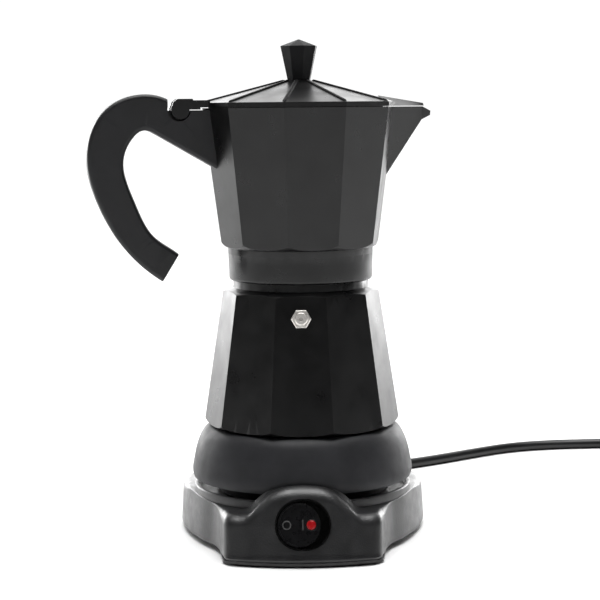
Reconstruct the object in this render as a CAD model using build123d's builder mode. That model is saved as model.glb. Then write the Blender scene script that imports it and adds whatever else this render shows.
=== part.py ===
from build123d import *
import os
from math import atan, cos, degrees, pi, radians, sin, tan

# Electric six-cup moka pot on its power base. Millimetres, Z up. The origin is on the pot's axis at
# the table, and the switch and the safety valve face -Y. The upper pot (collector, handle and lid) is
# screwed on with its spout turned slightly away from +X.

# ---- driving dimensions -------------------------------------------------------------------------
FACETS = 10
UPPER_TURN = 9.4  # degrees from +X to the spout, about Z
RUN = 0.4  # clearance between pieces that move past each other

# power base
PLATE_BOTTOM = 0.8
COVER_BOTTOM = 2.2
LEDGE_Z = 25.7
LOBE_Z = 28.6
HUMP_Z = 40.8
FRONT_Y = -79.5
FRONT_LEAN = 0.25  # lean of the front wall, in mm per mm of height
SIDE_LEAN = 0.03
HUB_TOP = 38.6
DRUM_R = 60.0
DRUM_Z = 30.8
WELL_R = 57.6
WELL_Z = 27.0
BASE_WALL = 2.4
CONNECTOR_R = 13.0
SCREW_CIRCLE = 47.0
HOUSING_DEPTH = 12.0
CORD_EXIT_Z = 9.0
RELIEF_R = 5.6
SCREW_R = 1.5
SCREW_LENGTH = 14.0

# rocker switch: a round rocker in an oval well, tilted about an upright pin behind its face
SWITCH_CENTRE = (0, -74.0, 22.0)
SWITCH_LEAN = 15.0
SWITCH_WIDE = 27.8
SWITCH_HIGH = 24.6
ROCKER_R = 11.3
ROCKER_TILT = 10.0
ROCKER_DEPTH = 11.5
PIVOT_R = 1.5
PIVOT_HALF = 12.8
LAMP_X = 6.4
LAMP_R = 2.5

# skirt (heater housing) and heater
SKIRT_BOTTOM = 34.6
SKIRT_TOP = 63.3
SOCKET_R = 17.5
SOCKET_TOP = 44.6
SKIRT_SCREW_CIRCLE = 40.0
HEATER_Z = 55.0
ELEMENT_CIRCLE = 30.0
ELEMENT_R = 3.6

# boiler
BOILER_BOTTOM = 59.8
BOILER_WIDE_Z = 65.3
BOILER_WIDE_R = 54.0
SHOULDER_Z = 137.5
SHOULDER_R = 43.0
NECK_R = 37.2
NECK_TOP = 150.8
NECK_BORE = 33.0
VALVE_Z = 125.8
VALVE_HEX = 9.4
VALVE_SHANK_R = 3.9

# collector
COLLAR_BOTTOM = 143.3
COLLAR_TOP = 161.0
COLLAR_R = 39.9
SEAT_Z = 155.0
COLLECTOR_LOW_Z = 159.8
COLLECTOR_LOW_R = 43.3
RIM_Z = 237.4
RIM_R = 53.3
COLLECTOR_WALL = 2.4
FLOOR_Z = 166.8
COLUMN_TOP = 223.6

# handle
HANDLE_HALF = 8.8
TONGUE_HALF = 3.2
HINGE_R = 66.0
HINGE_Z = 236.5
KNUCKLE_R = 4.9
NOTCH_R = 6.3
PIN_R = 1.25
ARM_LOW = 236.7
ARM_TOP = 241.7
HANDLE_SCREW_Z = 220.1

# lid and knob
LID_BOTTOM = 237.8
LID_BAND = 240.3
LID_TOP = 252.3
LID_TOP_R = 6.8
LIP_R = 50.0
LIP_DEPTH = 1.8
KNOB_LOW_R = 6.5
KNOB_HIGH_R = 10.4
KNOB_HIGH_Z = 270.6
KNOB_TOP = 274.2
KNOB_TURN = 16.0
KNOB_SCREW_R = 2.0

# mains cord
CORD_D = 6.5
CORD_Z = CORD_D / 2
RELIEF_END = 94.0

os.makedirs("parts", exist_ok=True)


def save(part, name):
    part.label = name
    export_step(part, f"parts/{name}.step")


def direction(angle):
    return Vector(cos(radians(angle)), sin(radians(angle)), 0)


spout_way = direction(UPPER_TURN)
hinge_way = direction(UPPER_TURN - 90)


def upper(z):
    """A level plane of the upper pot, with its x axis towards the spout."""
    return Plane(origin=(0, 0, z), x_dir=spout_way, z_dir=(0, 0, 1))


def upper_side(offset=0.0):
    """The upright plane through spout and handle: x towards the spout, y up."""
    return Plane(origin=hinge_way * offset, x_dir=spout_way, z_dir=hinge_way)


def across_spout(r):
    """The upright plane across the spout at radius r: y up."""
    return Plane(origin=spout_way * r, x_dir=hinge_way * -1, z_dir=spout_way)


def collector_r(z):
    """Vertex radius of the collector's outer decagon at height z."""
    slope = (RIM_R - COLLECTOR_LOW_R) / (RIM_Z - COLLECTOR_LOW_Z)
    return COLLECTOR_LOW_R + slope * (z - COLLECTOR_LOW_Z)


def boiler_r(z):
    """Vertex radius of the boiler's outer decagon at height z."""
    slope = (SHOULDER_R - BOILER_WIDE_R) / (SHOULDER_Z - BOILER_WIDE_Z)
    return BOILER_WIDE_R + slope * (z - BOILER_WIDE_Z)


def frustum(plane_at, sides, low, high):
    """A solid lofted between two regular polygons, each given as (height, vertex radius)."""
    with BuildPart() as made:
        for z, r in (low, high):
            with BuildSketch(plane_at(z)):
                RegularPolygon(r, sides)
        loft()
    return made.part


def turned(*points):
    """A solid turned about the pot's axis from a closed outline of (radius, height) points."""
    with BuildPart() as made:
        with BuildSketch(Plane.XZ):
            with BuildLine():
                Polyline(*points, close=True)
            make_face()
        revolve(axis=Axis.Z)
    return made.part


def ring(z0, z1, r_out, r_in=0.0):
    """A plain disc, or a ring when an inner radius is given."""
    with BuildPart() as made:
        with BuildSketch(Plane.XY.offset(z0)):
            Circle(r_out)
            if r_in:
                Circle(r_in, mode=Mode.SUBTRACT)
        extrude(amount=z1 - z0)
    return made.part


# ---- power base ---------------------------------------------------------------------------------
# Seen from above, a broad front lobe holds the switch and two side lobes stand towards the back,
# joined by shallow waists that run along the drum. The walls lean in with height.


def base_plan(z, inset):
    """The base's plan at height z, moved in by a wall thickness."""
    front = FRONT_Y + FRONT_LEAN * z + inset
    side = SIDE_LEAN * z + inset
    corner_x = 44.5 - side
    with BuildSketch(Plane.XY.offset(z)) as plan:
        with BuildLine():
            ThreePointArc((-corner_x, front + 8.5), (0, front), (corner_x, front + 8.5))
            for way in (1, -1):
                Spline(
                    (way * corner_x, front + 8.5),
                    (way * (49.6 - inset - side * 0.4), -38 + inset * 0.5),
                    (way * (60.8 - inset * 1.2), -12 + inset * 0.4),
                    (way * (69.6 - side), 27),
                    tangents=((way * 0.12, 1), (0, 1)),
                )
                Spline(
                    (way * (69.6 - side), 27),
                    (way * (50 - side), 56 - side),
                    (0, 67 - side),
                    tangents=((0, 1), (-way, 0)),
                )
        make_face()
        fillet([v for v in plan.vertices() if v.Y < -60], 6 - inset)
    return plan.sketch


def base_body(inset, bottom):
    """The base as a solid, from its bottom up to the ledge, the side lobes and the switch hump."""
    with BuildPart() as body:
        loft([base_plan(bottom, inset), base_plan(HUMP_Z + 1, inset)], ruled=True)
        ledge = LEDGE_Z - inset
        with BuildSketch(Plane.XZ.offset(50)):
            with BuildLine():
                arch = Spline(
                    (-36 + inset, ledge),
                    (-27.4 + inset, LOBE_Z - inset),
                    (-17.4 + inset * 0.5, 37.8 - inset),
                    (0, HUMP_Z - inset),
                    (17.4 - inset * 0.5, 37.8 - inset),
                    (27.4 - inset, LOBE_Z - inset),
                    (36 - inset, ledge),
                    tangents=((1, 0), (1, 0)),
                )
                Polyline(arch @ 1, (90, ledge), (90, 60), (-90, 60), (-90, ledge), arch @ 0)
            make_face()
        extrude(amount=50, mode=Mode.SUBTRACT)
        with BuildSketch(Plane.YZ):
            with BuildLine():
                rise = Spline((-50, ledge), (-8, LOBE_Z - inset), tangents=((1, 0), (1, 0)))
                Polyline(rise @ 1, (90, LOBE_Z - inset), (90, 60), (-50, 60), rise @ 0)
            make_face()
        extrude(amount=90, both=True, mode=Mode.SUBTRACT)
    return body.part


switch_plane = Plane(
    origin=SWITCH_CENTRE,
    x_dir=(1, 0, 0),
    z_dir=(0, -cos(radians(SWITCH_LEAN)), sin(radians(SWITCH_LEAN))),
)

rocker_up = switch_plane.y_dir

with BuildPart() as base_cover:
    add(base_body(0, COVER_BOTTOM))
    # the drum that carries the pot, and clearance for the skirt behind the hump
    with BuildSketch(Plane.XY.offset(DRUM_Z)):
        Circle(DRUM_R + 2)
    extrude(amount=HUMP_Z, mode=Mode.SUBTRACT)
    with BuildSketch(Plane.XY.offset(COVER_BOTTOM)):
        Circle(DRUM_R)
    extrude(amount=DRUM_Z - COVER_BOTTOM)
    fillet(base_cover.edges().filter_by(GeomType.CIRCLE).group_by(Axis.Z)[-1].sort_by(SortBy.RADIUS)[-1], 1)
    with BuildSketch(Plane.XY.offset(WELL_Z)):
        Circle(WELL_R)
    extrude(amount=DRUM_Z, mode=Mode.SUBTRACT)
    # hollow from below, with a bore for the connector and the switch well
    add(base_body(BASE_WALL, COVER_BOTTOM - 1), mode=Mode.SUBTRACT)
    with BuildSketch(Plane.XY.offset(COVER_BOTTOM)):
        Circle(DRUM_R - BASE_WALL)
    extrude(amount=WELL_Z - BASE_WALL - COVER_BOTTOM, mode=Mode.SUBTRACT)
    with BuildSketch(Plane.XY.offset(COVER_BOTTOM)):
        Circle(CONNECTOR_R)
    extrude(amount=DRUM_Z, mode=Mode.SUBTRACT)
    with BuildSketch(switch_plane.offset(-HOUSING_DEPTH)):
        SlotOverall(SWITCH_WIDE + 1.6, SWITCH_HIGH + 1.6)
    extrude(amount=HOUSING_DEPTH + 8, mode=Mode.SUBTRACT)
    # cord outlet
    with BuildSketch(Plane.XZ.offset(-50)):
        with Locations((0, CORD_EXIT_Z)):
            Circle(RELIEF_R)
    extrude(amount=-30, mode=Mode.SUBTRACT)
save(base_cover.part, "base_cover")

with BuildPart() as base_plate:
    with BuildSketch(Plane.XY.offset(PLATE_BOTTOM)):
        add(base_plan(PLATE_BOTTOM, 2.4))
        with PolarLocations(SCREW_CIRCLE, 4, 45):
            Circle(1.6, mode=Mode.SUBTRACT)
    extrude(amount=COVER_BOTTOM - PLATE_BOTTOM)
save(base_plate.part, "base_plate")

with BuildPart() as base_screws:
    with BuildSketch(Plane.XY.offset(PLATE_BOTTOM - 0.6)):
        with PolarLocations(SCREW_CIRCLE, 4, 45):
            Circle(2.8)
    extrude(amount=0.6)
    with BuildSketch(Plane.XY.offset(PLATE_BOTTOM)):
        with PolarLocations(SCREW_CIRCLE, 4, 45):
            Circle(SCREW_R)
    extrude(amount=SCREW_LENGTH)
save(base_screws.part, "base_screws")
save(ring(0, PLATE_BOTTOM, 42, 36), "foot_ring")

with BuildPart() as base_connector:
    add(ring(WELL_Z - BASE_WALL - 7, WELL_Z - BASE_WALL, 18))
    add(ring(WELL_Z - BASE_WALL, HUB_TOP, CONNECTOR_R))
    fillet(base_connector.edges().group_by(Axis.Z)[-1], 1)
save(base_connector.part, "base_connector")

with BuildPart() as base_contacts:
    add(ring(HUB_TOP, HUB_TOP + 0.8, 10.4, 9.2))
    add(ring(HUB_TOP, HUB_TOP + 0.8, 6.8, 5.6))
    add(ring(HUB_TOP, HUB_TOP + 3, 1.6))
save(base_contacts.part, "base_contacts")

# ---- rocker switch ------------------------------------------------------------------------------
def on_switch(depth, x=0.0, y=0.0):
    """A plane parallel to the switch's face, at a height above it."""
    level = switch_plane.offset(depth)
    return Plane(origin=level.from_local_coords((x, y, 0)), x_dir=level.x_dir, z_dir=level.z_dir)


with BuildPart() as switch_housing:
    with BuildSketch(on_switch(-HOUSING_DEPTH)):
        SlotOverall(SWITCH_WIDE + 1.6, SWITCH_HIGH + 1.6)
    extrude(amount=HOUSING_DEPTH - 0.3)
    with BuildSketch(on_switch(-HOUSING_DEPTH - 3)):
        Rectangle(22, 12)
    extrude(amount=3)
    with BuildSketch(on_switch(1.5 - HOUSING_DEPTH)):
        SlotOverall(SWITCH_WIDE, SWITCH_HIGH)
    extrude(amount=HOUSING_DEPTH, mode=Mode.SUBTRACT)
    with BuildSketch(Plane(origin=on_switch(2 - ROCKER_DEPTH).origin, x_dir=(1, 0, 0), z_dir=rocker_up)):
        Circle(PIVOT_R + 0.06)
    extrude(amount=PIVOT_HALF + 0.3, both=True, mode=Mode.SUBTRACT)
save(switch_housing.part, "switch_housing")

# the rocker at rest has its left side pressed in, so its face looks a little towards -X
rocker_axis = on_switch(2 - ROCKER_DEPTH).origin
rocker_way = Vector(-sin(radians(ROCKER_TILT)), 0, 0) + switch_plane.z_dir * cos(radians(ROCKER_TILT))
rocker_right = rocker_up.cross(rocker_way)


def on_rocker(height, x=0.0):
    """A plane across the rocker, at a height above its pivot."""
    return Plane(
        origin=rocker_axis + rocker_way * height + rocker_right * x, x_dir=rocker_right, z_dir=rocker_way
    )


with BuildPart() as rocker_button:
    for height, radius in ((ROCKER_DEPTH - 4.5, ROCKER_R - 1.4), (ROCKER_DEPTH, ROCKER_R)):
        with BuildSketch(on_rocker(height)):
            Circle(radius)
    loft()
    with BuildSketch(on_rocker(ROCKER_DEPTH - 0.5)):
        Circle(ROCKER_R - 0.8)
    extrude(amount=2, mode=Mode.SUBTRACT)
    with BuildSketch(on_rocker(0.2)):
        Rectangle(8, 2 * ROCKER_R - 4)
    extrude(amount=ROCKER_DEPTH - 2)
    with BuildSketch(Plane(origin=rocker_axis, x_dir=rocker_right, z_dir=rocker_up)):
        Circle(PIVOT_R)
    extrude(amount=PIVOT_HALF, both=True)
    with BuildSketch(on_rocker(ROCKER_DEPTH - 3, LAMP_X)):
        Circle(LAMP_R)
    extrude(amount=4, mode=Mode.SUBTRACT)
save(rocker_button.part, "rocker_button")

with BuildPart() as lamp_lens:
    with BuildSketch(on_rocker(ROCKER_DEPTH - 3, LAMP_X)):
        Circle(LAMP_R)
    extrude(amount=3.4)
    fillet(lamp_lens.faces().sort_by(Axis.Y)[0].edges(), 0.9)
save(lamp_lens.part, "lamp_lens")

with BuildPart() as switch_terminals:
    with BuildSketch(on_switch(-HOUSING_DEPTH - 3)):
        with GridLocations(7, 1, 3, 1):
            Rectangle(0.8, 6)
    extrude(amount=-7)
save(switch_terminals.part, "switch_terminals")

# ---- pot connector, skirt and heater ------------------------------------------------------------
with BuildPart() as pot_connector:
    add(ring(WELL_Z + 0.8, SOCKET_TOP, SOCKET_R))
    add(ring(HUB_TOP - 1.0, HUB_TOP + 1.0, SOCKET_R + 4.5))
    add(ring(WELL_Z, HUB_TOP + 3.6, CONNECTOR_R + 0.5), mode=Mode.SUBTRACT)
save(pot_connector.part, "pot_connector")

with BuildPart() as pot_contacts:
    add(ring(HUB_TOP + 1.2, HUB_TOP + 3.6, 10.4, 9.2))
    add(ring(HUB_TOP + 1.2, HUB_TOP + 3.6, 6.8, 5.6))
    add(ring(HUB_TOP + 1.2, HUB_TOP + 3.6, 3.2, 2.1))
save(pot_contacts.part, "pot_contacts")

with BuildPart() as skirt_cover:
    add(ring(SKIRT_BOTTOM, SKIRT_BOTTOM + 2, 57.2, SOCKET_R + RUN))
    add(ring(WELL_Z + RUN, SKIRT_BOTTOM, 47, 44))
    with BuildSketch(Plane.XY.offset(SKIRT_BOTTOM)):
        with PolarLocations(SKIRT_SCREW_CIRCLE, 3, 90):
            Circle(SCREW_R)
    extrude(amount=2, mode=Mode.SUBTRACT)
save(skirt_cover.part, "skirt_cover")

with BuildPart() as skirt_screws:
    with BuildSketch(Plane.XY.offset(SKIRT_BOTTOM - 1.6)):
        with PolarLocations(SKIRT_SCREW_CIRCLE, 3, 90):
            Circle(2.8)
    extrude(amount=1.6)
    with BuildSketch(Plane.XY.offset(SKIRT_BOTTOM)):
        with PolarLocations(SKIRT_SCREW_CIRCLE, 3, 90):
            Circle(SCREW_R)
    extrude(amount=HEATER_Z + 3 - SKIRT_BOTTOM)
save(skirt_screws.part, "skirt_screws")

with BuildPart() as skirt:
    with BuildSketch(Plane.XZ):
        with BuildLine():
            outer = Spline(
                (60.1, SKIRT_BOTTOM), (61.0, 37.8), (60.4, 43.0), (59.1, 49.5), (56.8, 56.3), (54.0, 60.9),
                (49.0, SKIRT_TOP),
            )
            inner = Spline(
                (57.6, SKIRT_BOTTOM), (58.4, 37.8), (57.8, 43.0), (56.4, 49.5), (53.6, 56.3), (47.4, 61.2),
            )
            Line(outer @ 0, inner @ 0)
            Line(outer @ 1, inner @ 1)
        make_face()
    revolve(axis=Axis.Z)
save(skirt.part, "skirt")

with BuildPart() as heater_plate:
    add(ring(HEATER_Z, BOILER_BOTTOM, 45.5))
    with BuildSketch(Plane.XY.offset(HEATER_Z)):
        with PolarLocations(SKIRT_SCREW_CIRCLE, 3, 90):
            Circle(SCREW_R)
    extrude(amount=3, mode=Mode.SUBTRACT)
save(heater_plate.part, "heater_plate")

with BuildPart() as heating_element:
    with BuildSketch(Plane.XZ):
        with Locations((ELEMENT_CIRCLE, HEATER_Z - ELEMENT_R)):
            Circle(ELEMENT_R)
    revolve(axis=Axis.Z, revolution_arc=320)
    for angle in (0, 320):
        with BuildSketch(Plane.XY.offset(HEATER_Z - ELEMENT_R)):
            with Locations(direction(angle) * ELEMENT_CIRCLE):
                Circle(1.5)
        extrude(amount=-8)
save(heating_element.part, "heating_element")
save(ring(SOCKET_TOP + 1.6, HEATER_Z, 8), "thermostat")

with BuildPart() as thermal_fuse:
    with BuildSketch(Plane.YZ.offset(-6)):
        with Locations((22, HEATER_Z - 2)):
            Circle(2)
    extrude(amount=12)
save(thermal_fuse.part, "thermal_fuse")

# ---- boiler -------------------------------------------------------------------------------------
FACET = cos(pi / FACETS)  # facet distance over vertex radius
valve_lean = degrees(atan((BOILER_WIDE_R - SHOULDER_R) * FACET / (SHOULDER_Z - BOILER_WIDE_Z)))
valve_plane = Plane(
    origin=(0, -boiler_r(VALVE_Z) * FACET, VALVE_Z),
    x_dir=(1, 0, 0),
    z_dir=(0, -cos(radians(valve_lean)), sin(radians(valve_lean))),
)

with BuildPart() as boiler:
    add(frustum(Plane.XY.offset, FACETS, (BOILER_BOTTOM, boiler_r(BOILER_BOTTOM)), (141, boiler_r(141))))
    # the turned envelope rounds the foot of the facets and cones off their tops
    with BuildSketch(Plane.XZ):
        with BuildLine():
            foot = ThreePointArc((50.6, 63.9), (53.2, 65.4), (54.6, 69.6))
            Polyline(
                foot @ 1, (54.6, 131.6), (NECK_R, 139.5), (0, 139.5), (0, BOILER_BOTTOM),
                (46.8, BOILER_BOTTOM), (46.8, 63.9), foot @ 0,
            )
        make_face()
    revolve(axis=Axis.Z, mode=Mode.INTERSECT)
    add(ring(138, NECK_TOP, NECK_R))
    fillet(boiler.edges().group_by(Axis.Z)[-1], 0.5)
    add(
        turned((0, 64), (43, 64), (46.8, 67.6), (38, 132.4), (NECK_BORE, 137.4), (NECK_BORE, 160), (0, 160)),
        mode=Mode.SUBTRACT,
    )
    with BuildSketch(valve_plane.offset(-8)):
        Circle(VALVE_SHANK_R)
    extrude(amount=12, mode=Mode.SUBTRACT)
save(boiler.part, "boiler")

# safety valve, drawn outwards from the facet
with BuildPart() as valve_body:
    with BuildSketch(valve_plane.offset(-7)):
        Circle(VALVE_SHANK_R)
    extrude(amount=7)
    with BuildSketch(valve_plane):
        RegularPolygon(VALVE_HEX / 2, 6, major_radius=False, rotation=0)
    extrude(amount=3.2)
    chamfer(valve_body.faces().sort_by(Axis.Y)[0].edges(), 0.4)
    with BuildSketch(valve_plane.offset(3.2)):
        Circle(3.3)
    extrude(amount=1.4)
    fillet(valve_body.faces().sort_by(Axis.Y)[0].edges(), 0.5)
    for depth, length, radius in ((-6.2, 9.6, 2.6), (-8, 14, 1.0), (-8, 2, 1.6)):
        with BuildSketch(valve_plane.offset(depth)):
            Circle(radius)
        extrude(amount=length, mode=Mode.SUBTRACT)
save(valve_body.part, "valve_body")

with BuildPart() as valve_pin:
    with BuildSketch(valve_plane.offset(-6)):
        Circle(2.35)
    extrude(amount=1.2)
    with BuildSketch(valve_plane.offset(-5)):
        Circle(0.8)
    extrude(amount=9)
save(valve_pin.part, "valve_pin")

with BuildPart() as valve_spring:
    with BuildLine():
        coil = Helix(1.2, 5.8, 1.9, center=valve_plane.offset(-3.0).origin, direction=valve_plane.z_dir)
    with BuildSketch(Plane(origin=coil @ 0, z_dir=coil % 0)):
        Circle(0.28)
    sweep(path=coil, is_frenet=True)
save(valve_spring.part, "valve_spring")

# ---- funnel, gasket and filter ------------------------------------------------------------------
FLANGE_Z = NECK_TOP + 0.3
GASKET_Z = FLANGE_Z + 1.1
with BuildPart() as funnel:
    add(
        turned(
            (4.2, 69), (5, 69), (5, 115.6), (9, 119.6), (32.4, 123.6), (32.4, FLANGE_Z), (35.8, FLANGE_Z),
            (35.8, FLANGE_Z + 0.8), (31.6, FLANGE_Z + 0.8), (31.6, 124.5), (8, 120.5), (4.2, 116.6),
        )
    )
save(funnel.part, "funnel")

with BuildPart() as funnel_sieve:
    with BuildSketch(Plane.XY.offset(124.8)):
        Circle(31.6)
        for count, radius in ((6, 5), (12, 12), (18, 19), (24, 26)):
            with PolarLocations(radius, count):
                Circle(1.1, mode=Mode.SUBTRACT)
    extrude(amount=0.8)
save(funnel_sieve.part, "funnel_sieve")

with BuildPart() as gasket:
    add(ring(GASKET_Z, SEAT_Z - 0.3, 36.6, 28.2))
    add(ring(GASKET_Z + 1, GASKET_Z + 1.8, 30.4), mode=Mode.SUBTRACT)
save(gasket.part, "gasket")

with BuildPart() as filter_plate:
    with BuildSketch(Plane.XY.offset(GASKET_Z + 1)):
        Circle(30.4)
        for count, radius in ((6, 5), (12, 11), (18, 17), (24, 23)):
            with PolarLocations(radius, count):
                Circle(1.0, mode=Mode.SUBTRACT)
    extrude(amount=0.8)
save(filter_plate.part, "filter_plate")

# ---- collector ----------------------------------------------------------------------------------
def spout_blade(root_half, root_low, lip_half, lip_low, top, reach):
    """A V-shaped wedge that widens from the spout's lip back into the collector."""
    sections = []
    for r, half, low in ((40, root_half, root_low), (reach, lip_half, lip_low)):
        with BuildSketch(across_spout(r)) as section:
            with BuildLine():
                Polyline((-half, top), (half, top), (0, low), close=True)
            make_face()
        sections.append(section.sketch)
    return loft(sections, ruled=True)


with BuildPart() as collector:
    add(frustum(upper, FACETS, (158, collector_r(158)), (RIM_Z, RIM_R)))
    add(spout_blade(19.9, 187.2, 2.0, 230.2, RIM_Z, 68.6))
    for r, half, low, top in ((68.6, 2.0, 230.2, RIM_Z), (73.4, 0.9, 232.6, 235.0)):
        with BuildSketch(across_spout(r)):
            with BuildLine():
                Polyline((-half, top), (half, top), (0, low), close=True)
            make_face()
    loft(ruled=True)
    # coned underside, then the collar that screws on the boiler's neck
    with BuildSketch(Plane.XZ):
        with BuildLine():
            under = Spline((COLLAR_R, 161.2), (42.4, 162.6), (44.2, 165.2), (45.2, 170))
            Polyline(under @ 1, (60, 170), (60, 152), (COLLAR_R, 152), under @ 0)
        make_face()
    revolve(axis=Axis.Z, mode=Mode.SUBTRACT)
    with BuildSketch(Plane.XZ):
        with BuildLine():
            Polyline(
                (0, COLLAR_BOTTOM), (COLLAR_R - 0.5, COLLAR_BOTTOM), (COLLAR_R, COLLAR_TOP),
                (COLLAR_R - 1, COLLAR_TOP + 0.4), (0, COLLAR_TOP + 0.4), close=True,
            )
        make_face()
    revolve(axis=Axis.Z)
    fillet(collector.edges().sort_by(Axis.Z)[0], 2)
    # inside of the jug and of the spout
    add(
        frustum(
            upper, FACETS, (FLOOR_Z, collector_r(FLOOR_Z) - COLLECTOR_WALL), (RIM_Z + 1, RIM_R - COLLECTOR_WALL),
        ),
        mode=Mode.SUBTRACT,
    )
    add(spout_blade(17.4, 193.6, 0.9, 234.2, RIM_Z + 1, 68.0), mode=Mode.SUBTRACT)
    # threaded bore, chamber under the floor and the hollow column
    add(ring(140, SEAT_Z, NECK_R + RUN), mode=Mode.SUBTRACT)
    add(
        turned((0, FLOOR_Z - 1), (9.5, FLOOR_Z - 1), (6.4, COLUMN_TOP - 1), (4.4, COLUMN_TOP), (0, COLUMN_TOP))
    )
    add(
        turned((0, SEAT_Z), (27.5, SEAT_Z), (5.4, 163.8), (4.2, COLUMN_TOP - 7), (0, COLUMN_TOP - 5)),
        mode=Mode.SUBTRACT,
    )
    with BuildSketch(upper_side()):
        with Locations((0, COLUMN_TOP - 9.5)):
            Circle(2.4)
    extrude(amount=12, both=True, mode=Mode.SUBTRACT)
    # boss for the handle's screw
    with BuildSketch(across_spout(-45)):
        with Locations((0, HANDLE_SCREW_Z)):
            Circle(5)
    extrude(amount=-3.5)
    with BuildSketch(across_spout(-40)):
        with Locations((0, HANDLE_SCREW_Z)):
            Circle(SCREW_R + 0.4)
    extrude(amount=-20, mode=Mode.SUBTRACT)
save(collector.part, "collector")

# ---- handle -------------------------------------------------------------------------------------
with BuildPart() as handle:
    with BuildSketch(upper_side(-HANDLE_HALF)):
        with BuildLine():
            outer = Spline(
                (-72.8, 242.4), (-87.5, 245.0), (-106.4, 236.8), (-116.2, 214.8), (-110.3, 185.1),
                (-97.4, 162.6), (-77.0, 144.2),
            )
            inner = Spline(
                (-67.9, 159.0), (-81.0, 168.6), (-91.0, 187.2), (-96.3, 212.4), (-90.6, 222.8),
                (-80.4, 224.2),
                tangents=((-0.78, 0.6), (0.87, -0.49)),
            )
            Line(outer @ 1, inner @ 0)
            Polyline(inner @ 1, (-46.0, 204.2), (-46.0, HINGE_Z - 0.2), (-72.8, HINGE_Z - 0.2), outer @ 0)
        make_face()
    extrude(amount=2 * HANDLE_HALF)
    # soften the outline's edges on both flat sides, except where the handle meets the collector
    sides = handle.faces().filter_by(Axis(upper_side().origin, hinge_way))
    rims = [e for side in sides for e in side.edges()]
    soft = [e for e in rims if e.center().dot(spout_way) < -75]
    fillet(soft, 2.2)
    # central tongue of the hinge, standing in the notch
    with BuildSketch(upper_side(-TONGUE_HALF)):
        with Locations((-HINGE_R, HINGE_Z)):
            Circle(KNUCKLE_R - 0.6)
    extrude(amount=2 * TONGUE_HALF)
    for side in (-1, 1):
        with BuildSketch(upper_side(side * TONGUE_HALF)):
            with Locations((-HINGE_R - 0.7, HINGE_Z + 0.3)):
                Circle(NOTCH_R)
        extrude(amount=side * 20, mode=Mode.SUBTRACT)
    add(frustum(upper, FACETS, (190, collector_r(190)), (250, collector_r(250))), mode=Mode.SUBTRACT)
    with BuildSketch(upper_side()):
        with Locations((-HINGE_R, HINGE_Z)):
            Circle(PIN_R)
    extrude(amount=20, both=True, mode=Mode.SUBTRACT)
    with BuildSketch(across_spout(-45)):
        with Locations((0, HANDLE_SCREW_Z)):
            Circle(SCREW_R + 0.4)
    extrude(amount=-20, mode=Mode.SUBTRACT)
save(handle.part, "handle")

with BuildPart() as handle_screw:
    with BuildSketch(across_spout(-45)):
        with Locations((0, HANDLE_SCREW_Z)):
            Circle(4)
    extrude(amount=2)
    with BuildSketch(across_spout(-45)):
        with Locations((0, HANDLE_SCREW_Z)):
            Circle(SCREW_R + 0.4)
    extrude(amount=-19)
save(handle_screw.part, "handle_screw")

with BuildPart() as hinge_pin:
    with BuildSketch(upper_side(-HANDLE_HALF + 0.2)):
        with Locations((-HINGE_R, HINGE_Z)):
            Circle(PIN_R)
    extrude(amount=2 * HANDLE_HALF - 1.4)
save(hinge_pin.part, "hinge_pin")

# ---- lid and knob -------------------------------------------------------------------------------
with BuildPart() as lid:
    add(frustum(upper, FACETS, (LID_BOTTOM, RIM_R + 0.3), (LID_BAND, RIM_R + 0.3)))
    add(frustum(upper, FACETS, (LID_BAND, RIM_R + 0.3), (LID_TOP, LID_TOP_R)))
    for r, half, top in ((44, 17.5, 243.6), (69.4, 1.7, 239.3)):
        with BuildSketch(across_spout(r)):
            with BuildLine():
                Polyline((-half, LID_BOTTOM), (half, LID_BOTTOM), (0, top), close=True)
            make_face()
    loft(ruled=True)
    add(frustum(upper, FACETS, (LID_BOTTOM - 1, RIM_R - 1.6), (LID_TOP - 2.1, 5.4)), mode=Mode.SUBTRACT)
    # lip that drops into the collector's rim
    add(frustum(upper, FACETS, (LID_BOTTOM - LIP_DEPTH, LIP_R), (LID_BOTTOM + 1, LIP_R)))
    add(
        frustum(upper, FACETS, (LID_BOTTOM - LIP_DEPTH - 1, LIP_R - 1.6), (LID_BOTTOM + 2, LIP_R - 1.6)),
        mode=Mode.SUBTRACT,
    )
    # hinge arm: a plate that ends in two ears
    with BuildSketch(upper_side(-HANDLE_HALF)):
        with BuildLine():
            Polyline(
                (-50, LID_BOTTOM), (-55.2, LID_BOTTOM), (-55.2, ARM_LOW), (-HINGE_R, ARM_LOW),
                (-HINGE_R - 4.4, HINGE_Z + 1.9), (-HINGE_R - 3.6, HINGE_Z + 4.5),
                (-HINGE_R - 1.4, ARM_TOP + 0.8),
                (-59.4, ARM_TOP + 0.8), (-59.0, ARM_TOP), (-50, ARM_TOP), close=True,
            )
        make_face()
        with Locations((-HINGE_R, HINGE_Z)):
            Circle(KNUCKLE_R)
    extrude(amount=2 * HANDLE_HALF)
    with BuildSketch(upper_side(-TONGUE_HALF - RUN)):
        with BuildLine():
            Polyline((-59.5, 230), (-59.5, 250), (-75, 250), (-75, 230), close=True)
        make_face()
    extrude(amount=2 * (TONGUE_HALF + RUN), mode=Mode.SUBTRACT)
    with BuildSketch(upper_side(-HANDLE_HALF)):
        with Locations((-HINGE_R, HINGE_Z)):
            Circle(PIN_R + 0.06)
    extrude(amount=2 * HANDLE_HALF - 1, mode=Mode.SUBTRACT)
    with BuildSketch(upper(LID_TOP - 5)):
        Circle(KNOB_SCREW_R + 0.1)
    extrude(amount=10, mode=Mode.SUBTRACT)
save(lid.part, "lid")

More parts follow.
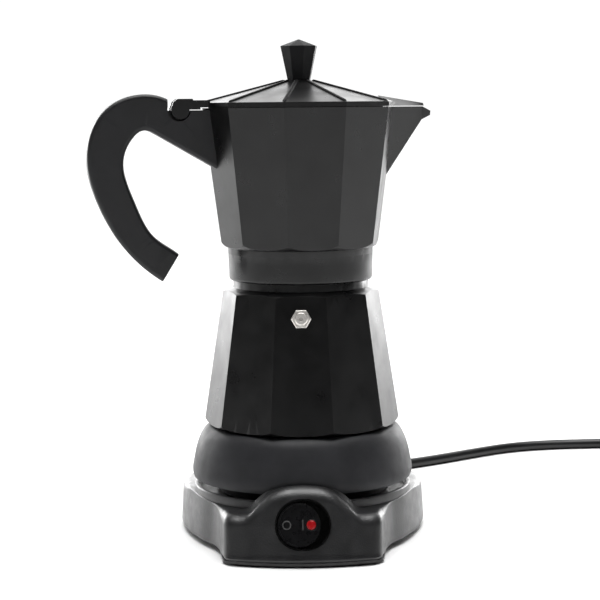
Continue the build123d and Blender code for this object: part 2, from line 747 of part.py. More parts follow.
with BuildPart() as knob:
    for z, r in ((LID_TOP, KNOB_LOW_R), (KNOB_HIGH_Z, KNOB_HIGH_R)):
        with BuildSketch(Plane.XY.offset(z)):
            RegularPolygon(r, 8, rotation=KNOB_TURN)
    loft()
    for z, r in ((KNOB_HIGH_Z, KNOB_HIGH_R), (KNOB_TOP, 0.4)):
        with BuildSketch(Plane.XY.offset(z)):
            RegularPolygon(r, 8, rotation=KNOB_TURN)
    loft()
    add(ring(LID_TOP - 1, LID_TOP + 12, KNOB_SCREW_R), mode=Mode.SUBTRACT)
save(knob.part, "knob")

save(ring(LID_TOP - 2.9, LID_TOP - 2.1, 4.4, KNOB_SCREW_R), "knob_washer")
with BuildPart() as knob_screw:
    add(ring(LID_TOP - 4.9, LID_TOP - 2.9, 3.8))
    add(ring(LID_TOP - 2.9, LID_TOP + 11, KNOB_SCREW_R))
save(knob_screw.part, "knob_screw")

# ---- mains cord ---------------------------------------------------------------------------------
with BuildPart() as strain_relief:
    with BuildSketch(Plane.XZ.offset(-60)):
        with Locations((0, CORD_EXIT_Z)):
            Circle(RELIEF_R)
    extrude(amount=-7)
    for y, r in ((67, 5.0), (RELIEF_END, CORD_D / 2 + 0.5)):
        with BuildSketch(Plane.XZ.offset(-y)):
            with Locations((0, CORD_EXIT_Z)):
                Circle(r)
    loft()
save(strain_relief.part, "strain_relief")

# The cord drops to the table behind the base and runs off to the right, where the rest is coiled.
COIL_CENTRE = (254.0, 199.0)
COIL_R = 42.5
ROUTE = [
    (0, RELIEF_END, CORD_EXIT_Z), (1, 117, 7.6), (13, 140, CORD_Z), (40, 160, CORD_Z), (68, 174, CORD_Z),
    (92, 191, CORD_Z), (117, 211, CORD_Z), (141, 228.5, CORD_Z), (168, 237.5, CORD_Z), (198, 240.5, CORD_Z),
    (227, 242, CORD_Z), (COIL_CENTRE[0], COIL_CENTRE[1] + COIL_R, CORD_Z),
]
TAIL = [
    (COIL_CENTRE[0] + COIL_R, COIL_CENTRE[1], 3 * CORD_Z), (297, 176, 8.8), (299, 152, 4.4),
    (301, 130, 5.2), (301.5, 110, 7.0),
]


def corner_radii(points):
    """The largest arc that each corner's two runs allow."""
    radii = []
    for a, b, c in zip(points, points[1:], points[2:]):
        before = Vector(*b) - Vector(*a)
        after = Vector(*c) - Vector(*b)
        half_turn = radians(before.get_angle(after)) / 2
        radii.append(0.45 * min(before.length, after.length) / tan(half_turn))
    return radii


def cord_tube(points, name):
    """A tube of the cord along straight runs joined by tangent arcs."""
    radii = corner_radii(points)
    with BuildPart() as tube:
        with BuildLine() as path:
            FilletPolyline(*points, radius=radii)
        with BuildSketch(Plane(origin=path.wire() @ 0, z_dir=path.wire() % 0)):
            Circle(CORD_D / 2)
        sweep(path=path.wire())
    length = path.wire().length
    print(name, "length", round(length, 1), "radii", [round(r) for r in radii])
    print(name, "volume over section x length", round(tube.part.volume / (pi * CORD_D**2 / 4 * length), 4))
    save(tube.part, name)


cord_tube(ROUTE, "power_cord")
cord_tube(TAIL, "cord_tail")

with BuildPart() as cord_coil:
    with BuildSketch(Plane(origin=(COIL_CENTRE[0], COIL_CENTRE[1], 0))):
        Circle(COIL_R + CORD_D / 2)
        Circle(COIL_R - CORD_D * 1.5, mode=Mode.SUBTRACT)
    extrude(amount=2 * CORD_D)
    fillet(cord_coil.edges(), 2.5)
save(cord_coil.part, "cord_coil")

plug_plane = Plane(origin=TAIL[-1], x_dir=(-1, 0, 0), z_dir=(0, -1, 0))
with BuildPart() as plug_body:
    for depth, wide, high in ((0, 9, 8), (16, 16, 11)):
        with BuildSketch(plug_plane.offset(depth)):
            RectangleRounded(wide, high, 3.5)
    loft()
    for depth, wide, high in ((16, 16, 11), (30, 33, 13.6), (44, 35, 13.6)):
        with BuildSketch(plug_plane.offset(depth)):
            RectangleRounded(wide, high, 4.5)
    loft()
save(plug_body.part, "plug_body")

with BuildPart() as plug_pins:
    with BuildSketch(plug_plane.offset(44)):
        with GridLocations(19, 1, 2, 1):
            Circle(2.4)
    extrude(amount=19)
    fillet(plug_pins.faces().sort_by(Axis.Y)[0:2].edges(), 1)
save(plug_pins.part, "plug_pins")
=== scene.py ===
"""Electric moka pot on its power base: looks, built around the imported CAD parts. Metres, Z up.

The pot's axis is the Z axis, the switch and the safety valve face -Y, and the spout points a little
behind +X. Lengths written in millimetres are scaled by MM.
"""

import math

import bmesh
import bpy
from mathutils import Matrix, Vector


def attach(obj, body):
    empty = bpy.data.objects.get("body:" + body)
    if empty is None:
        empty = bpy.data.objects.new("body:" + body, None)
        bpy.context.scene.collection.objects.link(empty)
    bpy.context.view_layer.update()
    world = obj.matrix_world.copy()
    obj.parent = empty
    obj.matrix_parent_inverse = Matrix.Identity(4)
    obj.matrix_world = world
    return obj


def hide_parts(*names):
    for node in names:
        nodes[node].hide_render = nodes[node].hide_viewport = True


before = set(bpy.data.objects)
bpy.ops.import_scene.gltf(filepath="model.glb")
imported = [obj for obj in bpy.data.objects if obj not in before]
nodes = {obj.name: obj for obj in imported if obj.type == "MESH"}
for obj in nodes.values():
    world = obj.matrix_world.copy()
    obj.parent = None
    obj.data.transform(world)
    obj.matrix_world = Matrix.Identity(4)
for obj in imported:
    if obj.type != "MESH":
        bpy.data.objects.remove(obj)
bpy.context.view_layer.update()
MM = 0.001

# ---- sizes shared with the CAD, in millimetres ---------------------------------------------------
LEDGE_Z, LOBE_Z, HUMP_Z = 25.7, 27.4, 40.8
DRUM_R, DRUM_Z = 60.0, 30.8
CLEAR_R = DRUM_R + 2
COVER_BOTTOM = 2.2
FOOT_ROUND = 2.8
FRONT_LEAN, SIDE_LEAN = 0.25, 0.05
SWITCH_CENTRE = Vector((0, -74.0, 22.0))
SWITCH_LEAN = math.radians(15)
ROCKER_TILT = math.radians(10)
ROCKER_DEPTH = 11.5
CORD_D = 6.5
FACETS = 10
UPPER_TURN = 9.4
LID_R, LID_BAND, LID_TOP_R, LID_TOP = 53.6, 240.3, 6.8, 252.3


# ---- mesh helpers --------------------------------------------------------------------------------
def mesh_object(name, verts, faces, body, material):
    """A smooth-shaded piece from points in millimetres; it rides on a body and takes a material."""
    mesh = bpy.data.meshes.new(name)
    mesh.from_pydata([Vector(v) * MM for v in verts], [], faces)
    bm = bmesh.new()
    bm.from_mesh(mesh)
    bmesh.ops.remove_doubles(bm, verts=bm.verts, dist=1e-6)
    bmesh.ops.recalc_face_normals(bm, faces=bm.faces)
    bm.to_mesh(mesh)
    bm.free()
    mesh.materials.append(material)
    piece = bpy.data.objects.new(name, mesh)
    bpy.context.collection.objects.link(piece)
    for face in mesh.polygons:
        face.use_smooth = True
    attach(piece, body)
    return piece


def grid_faces(rows, columns, closed_rows=False, closed_columns=True):
    """Quads over rows of points; each row has `columns` points."""
    faces = []
    for i in range(rows if closed_rows else rows - 1):
        for j in range(columns if closed_columns else columns - 1):
            a, b = i % rows, (i + 1) % rows
            k = (j + 1) % columns
            faces.append((a * columns + j, a * columns + k, b * columns + k, b * columns + j))
    return faces


def turned(name, profile, frame_of, body, material, closed=True, sides=96):
    """A piece turned about an axis: profile is (radius, height) points, frame_of places a local point."""
    verts = []
    for r, h in profile:
        for j in range(sides):
            t = 2 * math.pi * j / sides
            verts.append(frame_of(r * math.cos(t), r * math.sin(t), h))
    return mesh_object(name, verts, grid_faces(len(profile), sides, closed_rows=closed), body, material)


def upright(x, y, z):
    return Vector((x, y, z))


def sharpen(piece, degrees_):
    """Keeps creases over an angle crisp while the rest stays smooth."""
    piece.data.set_sharp_from_angle(angle=math.radians(degrees_))


def soften(name, width, segments=3, limit=22):
    """Rounds a CAD node's edges with modifiers only."""
    piece = nodes[name]
    weld = piece.modifiers.new("weld", "WELD")
    weld.merge_threshold = 1e-5
    bevel = piece.modifiers.new("edges", "BEVEL")
    bevel.width = width * MM
    bevel.segments = segments
    bevel.limit_method = "ANGLE"
    bevel.angle_limit = math.radians(limit)
    bevel.harden_normals = True
    bevel.use_clamp_overlap = True
    return piece


def smooth_curve(points, steps=12):
    """Points of a Catmull-Rom curve through the given 2-D points."""
    made = []
    padded = [points[0], *points, points[-1]]
    for p0, p1, p2, p3 in zip(padded, padded[1:], padded[2:], padded[3:]):
        for s in range(steps):
            t = s / steps
            made.append(tuple(
                0.5 * (2 * b + (c - a) * t + (2 * a - 5 * b + 4 * c - d) * t * t + (3 * b - a - 3 * c + d) * t**3)
                for a, b, c, d in zip(p0, p1, p2, p3)
            ))
    made.append(tuple(points[-1]))
    return made


def lookup(curve, x):
    """Value at x of a curve given as (x, value) points with rising x."""
    if x <= curve[0][0]:
        return curve[0][1]
    for (x0, y0), (x1, y1) in zip(curve, curve[1:]):
        if x <= x1:
            return y0 + (y1 - y0) * (x - x0) / max(x1 - x0, 1e-9)
    return curve[-1][1]


def smoothstep(low, high, x):
    t = min(max((x - low) / (high - low), 0), 1)
    return t * t * (3 - 2 * t)


# ---- materials -----------------------------------------------------------------------------------
def finish_of(name, color, roughness, metallic=0.0, grain=(900, 0.12), mottle=(60, 0.25), specular=0.5,
              rough_spread=0.06, coat=0.0, stretch=(1, 1, 1), emission=0.0, transmission=0.0):
    """A procedural finish: mottled colour, uneven roughness and a fine surface grain.

    grain is (noise scale per metre, bump strength) and mottle is (noise scale per metre, colour spread).
    """
    material = bpy.data.materials.new(name)
    material.use_nodes = True
    tree = material.node_tree
    shader = tree.nodes["Principled BSDF"]
    shader.inputs["Metallic"].default_value = metallic
    shader.inputs["Specular IOR Level"].default_value = specular
    shader.inputs["Coat Weight"].default_value = coat
    shader.inputs["Coat Roughness"].default_value = 0.15
    shader.inputs["Transmission Weight"].default_value = transmission
    shader.inputs["Emission Color"].default_value = (*color, 1)
    shader.inputs["Emission Strength"].default_value = emission
    place = tree.nodes.new("ShaderNodeTexCoord")
    mapping = tree.nodes.new("ShaderNodeMapping")
    mapping.inputs["Scale"].default_value = stretch
    tree.links.new(place.outputs["Object"], mapping.inputs["Vector"])

    def noise(scale, detail):
        node = tree.nodes.new("ShaderNodeTexNoise")
        node.inputs["Scale"].default_value = scale
        node.inputs["Detail"].default_value = detail
        tree.links.new(mapping.outputs["Vector"], node.inputs["Vector"])
        return node.outputs["Fac"]

    broad = noise(mottle[0], 4)
    ramp = tree.nodes.new("ShaderNodeValToRGB")
    ramp.color_ramp.elements[0].position = 0.3
    ramp.color_ramp.elements[1].position = 0.7
    ramp.color_ramp.elements[0].color = (*[c * (1 - mottle[1]) for c in color], 1)
    ramp.color_ramp.elements[1].color = (*[min(c * (1 + mottle[1]), 1) for c in color], 1)
    tree.links.new(broad, ramp.inputs["Fac"])
    tree.links.new(ramp.outputs["Color"], shader.inputs["Base Color"])

    uneven = tree.nodes.new("ShaderNodeMapRange")
    uneven.inputs["From Min"].default_value = 0.3
    uneven.inputs["From Max"].default_value = 0.7
    uneven.inputs["To Min"].default_value = roughness - rough_spread
    uneven.inputs["To Max"].default_value = roughness + rough_spread
    tree.links.new(noise(mottle[0] * 2.3, 3), uneven.inputs["Value"])
    tree.links.new(uneven.outputs["Result"], shader.inputs["Roughness"])

    bump = tree.nodes.new("ShaderNodeBump")
    bump.inputs["Strength"].default_value = grain[1]
    bump.inputs["Distance"].default_value = 0.0002
    tree.links.new(noise(grain[0], 2), bump.inputs["Height"])
    tree.links.new(bump.outputs["Normal"], shader.inputs["Normal"])
    return material


base_plastic = finish_of("base_plastic", (0.015, 0.015, 0.0158), 0.36, grain=(1300, 0.5), specular=0.62)
skirt_plastic = finish_of("skirt_plastic", (0.016, 0.0162, 0.0185), 0.55, grain=(2200, 0.25), specular=0.3)
handle_plastic = finish_of("handle_plastic", (0.004, 0.0041, 0.0052), 0.48, grain=(2000, 0.2), specular=0.42)
knob_plastic = finish_of("knob_plastic", (0.004, 0.0042, 0.005), 0.55, grain=(2000, 0.18), specular=0.2)
paint = finish_of(
    "satin_paint", (0.002, 0.002, 0.0022), 0.32, grain=(420, 0.06), mottle=(30, 0.2), specular=0.36,
)
rib_paint = finish_of(
    "rib_paint", (0.002, 0.002, 0.0022), 0.6, grain=(420, 0.06), mottle=(30, 0.2), specular=0.15,
)
bare_aluminium = finish_of(
    "bare_aluminium", (0.62, 0.62, 0.61), 0.34, 1.0, grain=(1200, 0.15), mottle=(90, 0.06),
)
steel = finish_of("steel", (0.5, 0.5, 0.49), 0.3, 1.0, grain=(1500, 0.1), mottle=(120, 0.08))
nickel = finish_of("nickel", (0.82, 0.79, 0.75), 0.36, 0.75, grain=(1600, 0.08), mottle=(300, 0.1))
brass = finish_of("brass", (0.72, 0.52, 0.22), 0.3, 1.0, grain=(1500, 0.1), mottle=(200, 0.1))
rubber = finish_of("rubber", (0.012, 0.012, 0.012), 0.75, grain=(1200, 0.3))
silicone = finish_of("silicone", (0.7, 0.68, 0.64), 0.5, grain=(900, 0.08), mottle=(80, 0.05))
cord_vinyl = finish_of("cord_vinyl", (0.008, 0.008, 0.0085), 0.36, grain=(700, 0.1), mottle=(40, 0.2))
gloss_black = finish_of("gloss_black", (0.006, 0.006, 0.006), 0.2, grain=(1800, 0.05), mottle=(150, 0.2))
rocker_black = finish_of(
    "rocker_black", (0.004, 0.004, 0.0045), 0.3, grain=(2600, 0.03), mottle=(150, 0.2), specular=0.3,
)
mark_grey = finish_of("mark_grey", (0.05, 0.05, 0.05), 0.5, grain=(1800, 0.1), mottle=(600, 0.3))
lamp_red = finish_of(
    "lamp_red", (0.3, 0.006, 0.008), 0.25, grain=(900, 0.1), mottle=(500, 0.35), specular=0.35,
)

FINISHES = {
    "base_cover": base_plastic, "base_plate": base_plastic, "base_connector": skirt_plastic,
    "strain_relief": cord_vinyl, "plug_body": cord_vinyl, "plug_pins": nickel, "foot_ring": rubber,
    "base_screws": steel, "skirt_screws": steel, "base_contacts": brass, "pot_contacts": brass,
    "switch_housing": gloss_black, "switch_terminals": brass, "rocker_button": rocker_black,
    "lamp_lens": lamp_red, "pot_connector": skirt_plastic, "skirt_cover": skirt_plastic, "skirt": skirt_plastic,
    "heater_plate": bare_aluminium, "heating_element": steel, "thermostat": steel, "thermal_fuse": steel,
    "boiler": paint, "collector": paint, "lid": paint, "valve_body": nickel, "valve_pin": nickel,
    "valve_spring": steel, "funnel": bare_aluminium, "funnel_sieve": bare_aluminium, "gasket": silicone,
    "filter_plate": bare_aluminium, "handle": handle_plastic, "handle_screw": steel, "hinge_pin": steel,
    "knob": knob_plastic, "knob_screw": steel, "knob_washer": steel,
}
for name, material in FINISHES.items():
    for place in nodes[name].material_slots:
        place.material = material

# ---- camera and light ----------------------------------------------------------------------------
CAMERA_DOWN, CAMERA_ROLL = 6.2, -0.5  # degrees
camera = bpy.data.objects.new("camera", bpy.data.cameras.new("camera"))
bpy.context.collection.objects.link(camera)
camera.location = (-0.0005, -0.979, 0.2378)
camera.rotation_mode = "QUATERNION"
turn = Matrix.Rotation(math.radians(90 - CAMERA_DOWN), 3, "X")
turn = turn @ Matrix.Rotation(math.radians(CAMERA_ROLL), 3, "Z")
camera.rotation_quaternion = turn.to_quaternion()
camera.data.sensor_width = 36
camera.data.lens = 106.8
camera.data.clip_start, camera.data.clip_end = 0.05, 60
bpy.context.scene.camera = camera
bpy.context.scene.view_settings.view_transform = "Standard"

world = bpy.data.worlds.new("studio")
bpy.context.scene.world = world
world.use_nodes = True
sky = world.node_tree
backdrop = sky.nodes["Background"]
direction = sky.nodes.new("ShaderNodeTexCoord")
split = sky.nodes.new("ShaderNodeSeparateXYZ")
sky.links.new(direction.outputs["Generated"], split.inputs[0])
white = sky.nodes.new("ShaderNodeBackground")
white.inputs["Color"].default_value = (1, 1, 1, 1)
white.inputs["Strength"].default_value = 1.05
backdrop.inputs["Color"].default_value = (1, 1, 1, 1)


def sky_ramp(source, start, end, low, high):
    """A world node that takes source from low to high while it goes from start to end."""
    node = sky.nodes.new("ShaderNodeMapRange")
    for socket, value in (("From Min", start), ("From Max", end), ("To Min", low), ("To Max", high)):
        node.inputs[socket].default_value = value
    sky.links.new(source, node.inputs["Value"])
    return node


# bright behind the pot, dimmer overhead and straight behind, dark in front
glow = sky_ramp(split.outputs["Y"], 0.3, 0.85, 0.03, 6.0)
glow.interpolation_type = "SMOOTHSTEP"
overhead_dim = sky_ramp(split.outputs["Z"], 0.15, 0.65, 1.0, 0.25)
aside = sky.nodes.new("ShaderNodeMath")
aside.operation = "ABSOLUTE"
sky.links.new(split.outputs["X"], aside.inputs[0])
centre_dim = sky_ramp(aside.outputs[0], 0.1, 0.5, 0.75, 1.0)
strength = glow.outputs["Result"]
for factor in (overhead_dim, centre_dim):
    product = sky.nodes.new("ShaderNodeMath")
    product.operation = "MULTIPLY"
    sky.links.new(strength, product.inputs[0])
    sky.links.new(factor.outputs["Result"], product.inputs[1])
    strength = product.outputs[0]
sky.links.new(strength, backdrop.inputs["Strength"])
seen = sky.nodes.new("ShaderNodeLightPath")
either = sky.nodes.new("ShaderNodeMixShader")
sky.links.new(seen.outputs["Is Camera Ray"], either.inputs["Fac"])
sky.links.new(backdrop.outputs[0], either.inputs[1])
sky.links.new(white.outputs[0], either.inputs[2])
sky.links.new(either.outputs[0], sky.nodes["World Output"].inputs["Surface"])


def softbox(name, place, target, size, power):
    """An area light at place, turned towards target."""
    light = bpy.data.lights.new(name, "AREA")
    light.shape = "RECTANGLE"
    light.size, light.size_y = size
    light.energy = power
    lamp = bpy.data.objects.new(name, light)
    bpy.context.collection.objects.link(lamp)
    lamp.location = place
    lamp.rotation_mode = "QUATERNION"
    lamp.rotation_quaternion = (Vector(target) - Vector(place)).to_track_quat("-Z", "Y")


softbox("top_box", (0, -0.05, 1.5), (0, 0, 0), (1.3, 0.9), 16)
softbox("left_box", (-1.1, 0.1, 0.5), (0, 0, 0.12), (0.4, 0.8), 0.7)
softbox("rear_left_box", (-1.25, 1.75, 0.35), (0, 0, 0.15), (0.7, 1.3), 11)
softbox("rear_right_box", (1.25, 1.75, 0.35), (0, 0, 0.15), (0.7, 1.3), 11)

sun = bpy.data.objects.new("overhead", bpy.data.lights.new("overhead", "SUN"))
sun.data.energy = 2.4
sun.data.angle = math.radians(50)
bpy.context.collection.objects.link(sun)

floor_mesh = bpy.data.meshes.new("floor")
floor_mesh.from_pydata([(-20, -20, 0), (20, -20, 0), (20, 20, 0), (-20, 20, 0)], [], [(0, 1, 2, 3)])
floor = bpy.data.objects.new("floor", floor_mesh)
bpy.context.collection.objects.link(floor)
floor_mesh.materials.append(
    finish_of("floor_white", (0.9, 0.9, 0.9), 0.7, grain=(200, 0.02), mottle=(8, 0.01), specular=0.2)
)

# ---- mains cord ----------------------------------------------------------------------------------
COIL_CENTRE = (254.0, 199.0)
COIL_R = 42.5
ROUTE = [
    (0, 94, 9), (1, 117, 7.6), (13, 140, 3.25), (40, 160, 3.25), (68, 174, 3.25), (92, 191, 3.25),
    (117, 211, 3.25), (141, 228.5, 3.25), (168, 237.5, 3.25), (198, 240.5, 3.25), (227, 242, 3.25),
]
TAIL = [(297, 176, 8.8), (299, 152, 4.4), (301, 130, 5.2), (301.5, 110, 7.0)]
POINTS_A_TURN = 18
coil = []
for i in range(int(2.25 * POINTS_A_TURN) + 1):
    turns = i / POINTS_A_TURN
    lap = max(turns - 1, 0)  # second lap: climbs on the first one and widens again
    radius = COIL_R - CORD_D * min(turns, 1) + CORD_D * min(lap, 1)
    beside = CORD_D - 2 * CORD_D * min(lap, 0.5)
    rise = math.sqrt(max(CORD_D**2 - beside**2, 0))
    angle = math.pi / 2 - 2 * math.pi * turns
    coil.append((
        COIL_CENTRE[0] + radius * math.cos(angle), COIL_CENTRE[1] + radius * math.sin(angle), CORD_D / 2 + rise,
    ))
line = bpy.data.curves.new("mains_cord", "CURVE")
line.dimensions = "3D"
spline = line.splines.new("NURBS")
route = ROUTE + coil + TAIL
spline.points.add(len(route) - 1)
for point, place in zip(spline.points, route):
    point.co = (*(Vector(place) * MM), 1)
spline.order_u = 3
spline.use_endpoint_u = True
spline.resolution_u = 8
line.bevel_depth = CORD_D / 2 * MM
line.bevel_resolution = 6
line.use_fill_caps = True
line.materials.append(cord_vinyl)
mains_cord = bpy.data.objects.new("mains_cord", line)
bpy.context.collection.objects.link(mains_cord)
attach(mains_cord, "power_base")
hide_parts("power_cord", "cord_coil", "cord_tail")

# strain relief: a ribbed sleeve that tapers to the cord
sleeve_profile = [(3.3, 60), (5.5, 60), (5.5, 68.2), (5.0, 68.6)]
for k in range(6):
    start = 69.2 + 3.9 * k
    wide = 5.0 - 0.19 * k
    sleeve_profile += [(wide, start), (wide, start + 2.1), (wide - 0.8, start + 2.5), (wide - 0.8, start + 3.5)]
sleeve_profile += [(3.9, 92.8), (3.85, 93.6), (3.5, 94.0), (3.3, 94.0)]


def along_y(x, y, h):
    return Vector((x, h, 9 + y))


sleeve = turned("cord_sleeve", sleeve_profile, along_y, "power_base", cord_vinyl, sides=40)
sharpen(sleeve, 40)
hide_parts("strain_relief")

# ---- base cover ----------------------------------------------------------------------------------
HALF_PLAN = [
    (0, -79.5), (14, -78.7), (27, -76.5), (35, -74.4), (39.4, -72.3), (41.5, -69), (42.4, -64.3),
    (44, -56), (45.7, -47.5), (49.2, -38.2), (55.8, -26.5), (61.3, -13), (65.2, -0.4), (68, 11.9),
    (69.3, 22), (69.6, 30), (68.1, 40), (62.5, 49.5), (51.8, 57.5), (37.6, 63), (19.3, 66.2), (0, 67),
]
ARCH = smooth_curve([
    (0, HUMP_Z), (9.5, 40.1), (17.4, 37.7), (22, 34.4), (25, 31.3), (27.4, 28.5), (30, 26.5), (33.4, 25.8),
    (38, LEDGE_Z), (80, LEDGE_Z),
])
COLUMNS = 720


def top_height(x, y):
    """Height of the cover's top: the switch hump in front, the ledge beside it and the side lobes."""
    side = LEDGE_Z + (LOBE_Z - LEDGE_Z) * smoothstep(-50, -8, y)
    front = lookup(ARCH, abs(x))
    return max(side, front if y < -30 else side)


def plan_radii():
    """Radius of the cover's foot line at even steps of angle round the axis."""
    half = smooth_curve(HALF_PLAN, 16)
    polar = sorted((math.atan2(x, -y), math.hypot(x, y)) for x, y in half)
    return [lookup(polar, abs(math.remainder(2 * math.pi * j / COLUMNS, 2 * math.pi))) for j in range(COLUMNS)]


def wall_point(angle, foot, z):
    """The outer wall at height z: the front leans back more than the sides, and the drum shows between."""
    x, y = foot * math.sin(angle), -foot * math.cos(angle)
    front = smoothstep(60, 73, -y)
    squeeze = 1 - SIDE_LEAN * z / 62
    x_side, y_side = x * squeeze, y * squeeze
    x, y = x_side + (x * 0.998 - x_side) * front, y_side + (y + FRONT_LEAN * z - y_side) * front
    r = math.hypot(x, y)
    drum = DRUM_R + 0.15
    k = 1.6
    h = max(k - abs(r - drum), 0) / k
    return (max(r, drum) + h * h * k / 4), math.atan2(x, -y)


def base_rows():
    """Points of the cover's ring, one list per column, from the foot up the wall and over the top."""
    columns = []
    for j, foot in enumerate(plan_radii()):
        angle = 2 * math.pi * j / COLUMNS
        points = []

        def put(r, a, z):
            points.append((r * math.sin(a), -r * math.cos(a), z))

        r, a = wall_point(angle, foot, LEDGE_Z)
        for _ in range(3):
            edge = top_height(r * math.sin(a), -r * math.cos(a))
            r, a = wall_point(angle, foot, edge)
        hump = smoothstep(LOBE_Z, HUMP_Z - 2, edge)
        room = max(r - CLEAR_R, 0.0)
        rounding = min(5.6 + 3.2 * hump, 0.75 * room + 0.6)
        inner = min(CLEAR_R, r - rounding - 0.1)
        foot_r, foot_a = wall_point(angle, foot, COVER_BOTTOM)
        put(58.4, foot_a, COVER_BOTTOM)
        for s in range(5):
            t = math.pi / 2 * s / 5
            put(foot_r - FOOT_ROUND * (1 - math.sin(t)), foot_a, COVER_BOTTOM + FOOT_ROUND * (1 - math.cos(t)))
        for s in range(13):
            z = COVER_BOTTOM + FOOT_ROUND + (edge - rounding - COVER_BOTTOM - FOOT_ROUND) * s / 12
            put(*wall_point(angle, foot, z), z)
        for s in range(1, 11):
            t = math.pi / 2 * s / 10
            z = edge - rounding * (1 - math.sin(t))
            wall_r, wall_a = wall_point(angle, foot, z)
            put(wall_r - rounding * (1 - math.cos(t)), wall_a, z)
        last_r = math.hypot(points[-1][0], points[-1][1])
        lip = 1.4 * hump
        for s in range(1, 9):
            level_r = last_r + (inner + lip - last_r) * s / 8
            z = top_height(level_r * math.sin(a), -level_r * math.cos(a))
            put(level_r, a, z + (edge - z) * (1 - s / 8))
        top = points[-1][2]
        for s in range(1, 5):
            t = math.pi / 2 * s / 4
            put(inner + lip * (1 - math.sin(t)), a, top - lip * (1 - math.cos(t)))
        floor_z = min(top, DRUM_Z - 0.5)
        put(inner, a, floor_z)
        put(58.4, a, floor_z)
        put(58.4, a, (floor_z + COVER_BOTTOM) / 2)
        columns.append(points)
    return [list(row) for row in zip(*columns)]


rows = base_rows()
cover = mesh_object(
    "base_shell", [p for row in rows for p in row], grid_faces(len(rows), COLUMNS, closed_rows=True),
    "power_base", base_plastic,
)

DRUM_PROFILE = [
    (13.4, 24.8), (60.0, 24.8), (60.0, 29.9), (59.85, 30.35), (59.5, 30.7), (59.0, 30.8), (58.3, 30.8),
    (57.85, 30.65), (57.6, 30.2), (57.6, 27.6), (57.4, 27.2), (56.9, 27.0), (19.2, 27.0), (18.8, 27.3),
    (18.8, 27.9), (18.4, 28.2), (14.0, 28.2), (13.4, 27.9),
]
drum = turned("base_drum", DRUM_PROFILE, upright, "power_base", base_plastic, sides=192)
sharpen(drum, 35)
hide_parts("base_cover")

switch_out = Vector((0, -math.cos(SWITCH_LEAN), math.sin(SWITCH_LEAN)))
switch_up = Vector((0, math.sin(SWITCH_LEAN), math.cos(SWITCH_LEAN)))


def on_switch(x, y, depth):
    return SWITCH_CENTRE + Vector((1, 0, 0)) * x + switch_up * y + switch_out * depth


def oval(width, height, depth, steps=48):
    """Points of an oval with round ends, lying across the switch's axis."""
    points = []
    for j in range(2 * steps):
        t = math.pi * (j + 0.5) / steps
        shift = (width - height) / 2 * (1 if math.cos(t) > 0 else -1)
        points.append(on_switch(height / 2 * math.cos(t) + shift, height / 2 * math.sin(t), depth))
    return points


# the switch opening, with a small lead-in round its edge
levels = [oval(29.5, 26.3, -14), oval(29.5, 26.3, -0.6), oval(30.3, 27.1, 0.2), oval(34, 30.8, 6)]
cutter_verts = [p for level in levels for p in level]
count = len(levels[0])
cutter_faces = grid_faces(len(levels), count)
cutter_faces += [tuple(range(count)), tuple(range(3 * count, 4 * count))]
cutter_mesh = bpy.data.meshes.new("opening")
cutter_mesh.from_pydata([p * MM for p in cutter_verts], [], cutter_faces)
cutter = bpy.data.objects.new("opening", cutter_mesh)
bpy.context.collection.objects.link(cutter)
bm = bmesh.new()
bm.from_mesh(cutter_mesh)
bmesh.ops.recalc_face_normals(bm, faces=bm.faces)
bm.to_mesh(cutter_mesh)
bm.free()
cut = cover.modifiers.new("opening", "BOOLEAN")
cut.operation = "DIFFERENCE"
cut.solver = "EXACT"
cut.object = cutter
opened = bpy.data.meshes.new_from_object(cover.evaluated_get(bpy.context.evaluated_depsgraph_get()))
cover.modifiers.clear()
cover.data = opened
bpy.data.objects.remove(cutter)
sharpen(cover, 38)

# ---- ribs along the lid's ridges --------------------------------------------------------------------
rib_verts = []
rib_faces = []
for k in range(1, FACETS):
    angle = math.radians(UPPER_TURN) + 2 * math.pi * k / FACETS
    out = Vector((math.cos(angle), math.sin(angle), 0))
    across = Vector((-math.sin(angle), math.cos(angle), 0))
    first = len(rib_verts)
    for r, size in ((8.0, 0.2), (9.0, 1), (51.6, 1), (52.8, 0.2)):
        z = LID_TOP + (LID_BAND - LID_TOP) * (r - LID_TOP_R) / (LID_R - LID_TOP_R)
        for side, height in ((-1.1, -0.8), (-1.0, 0.3), (-0.6, 0.7), (0.6, 0.7), (1.0, 0.3), (1.1, -0.8)):
            rib_verts.append(out * r + across * side * size + Vector((0, 0, z + height * size)))
    rib_faces += [tuple(first + i for i in face) for face in grid_faces(4, 6)]
    rib_faces += [tuple(first + i for i in range(6)), tuple(first + 18 + i for i in range(6))]
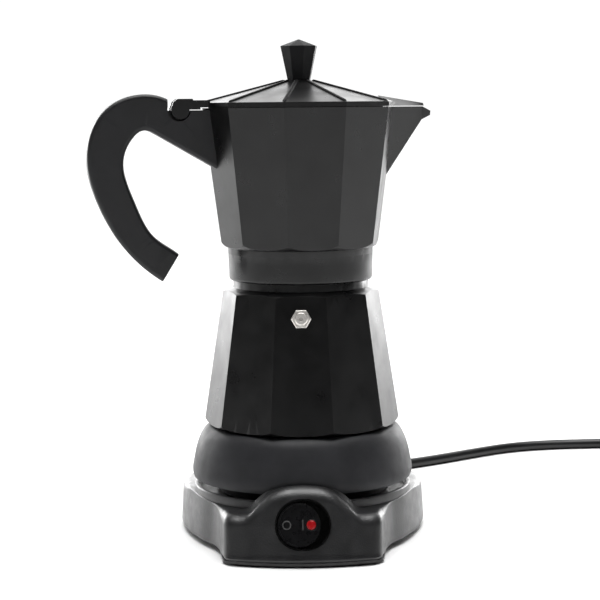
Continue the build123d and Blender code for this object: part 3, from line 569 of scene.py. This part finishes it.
mesh_object("lid_ribs", rib_verts, rib_faces, "lid_body", rib_paint)

# ---- rocker marks --------------------------------------------------------------------------------
rocker_origin = on_switch(0, 0, 2 - ROCKER_DEPTH)
rocker_way = Vector((-math.sin(ROCKER_TILT), 0, 0)) + switch_out * math.cos(ROCKER_TILT)
rocker_right = switch_up.cross(rocker_way)
OFF_X, ON_X, LAMP_X = -6.6, 1.9, 6.4
ON_HALF_WIDTH, ON_HALF_LENGTH = 0.33, 2.7
MARK_ROOT = 0.2  # how far the marks reach into the rocker


def on_rocker(x, y, height):
    return rocker_origin + rocker_right * x + switch_up * y + rocker_way * (ROCKER_DEPTH - 0.5 + height)


def ring_mark(r_out, r_in, height):
    """Profile of a raised ring on the rocker."""
    return [
        (r_in, -MARK_ROOT), (r_out, -MARK_ROOT), (r_out, height - 0.04), (r_out - 0.08, height),
        (r_in + 0.08, height), (r_in, height - 0.04),
    ]


def at_off(x, y, h):
    return on_rocker(x + OFF_X, y, h)


def at_lamp(x, y, h):
    return on_rocker(x + LAMP_X, y, h)


turned("off_mark", ring_mark(2.4, 1.75, 0.16), at_off, "rocker", mark_grey, sides=48)
turned("lamp_rim", ring_mark(3.1, 2.55, 0.3), at_lamp, "rocker", gloss_black, sides=48)
bar = []
for h, shrink in ((-MARK_ROOT, 0), (0.12, 0), (0.16, 0.06)):
    for way_x, way_y in ((-1, -1), (1, -1), (1, 1), (-1, 1)):
        bar.append(on_rocker(ON_X + way_x * (ON_HALF_WIDTH - shrink), way_y * (ON_HALF_LENGTH - shrink), h))
on_mark = mesh_object(
    "on_mark", bar, grid_faces(3, 4) + [(0, 1, 2, 3), (8, 9, 10, 11)], "rocker", mark_grey,
)
sharpen(on_mark, 30)

# ---- softened edges on the CAD pieces --------------------------------------------------------------
EDGE_WIDTHS = {
    "collector": 0.7, "boiler": 0.8, "lid": 0.4, "knob": 0.45, "valve_body": 0.25, "plug_body": 0.8,
    "rocker_button": 0.6, "handle": 0.4,
}
for name, width in EDGE_WIDTHS.items():
    soften(name, width)
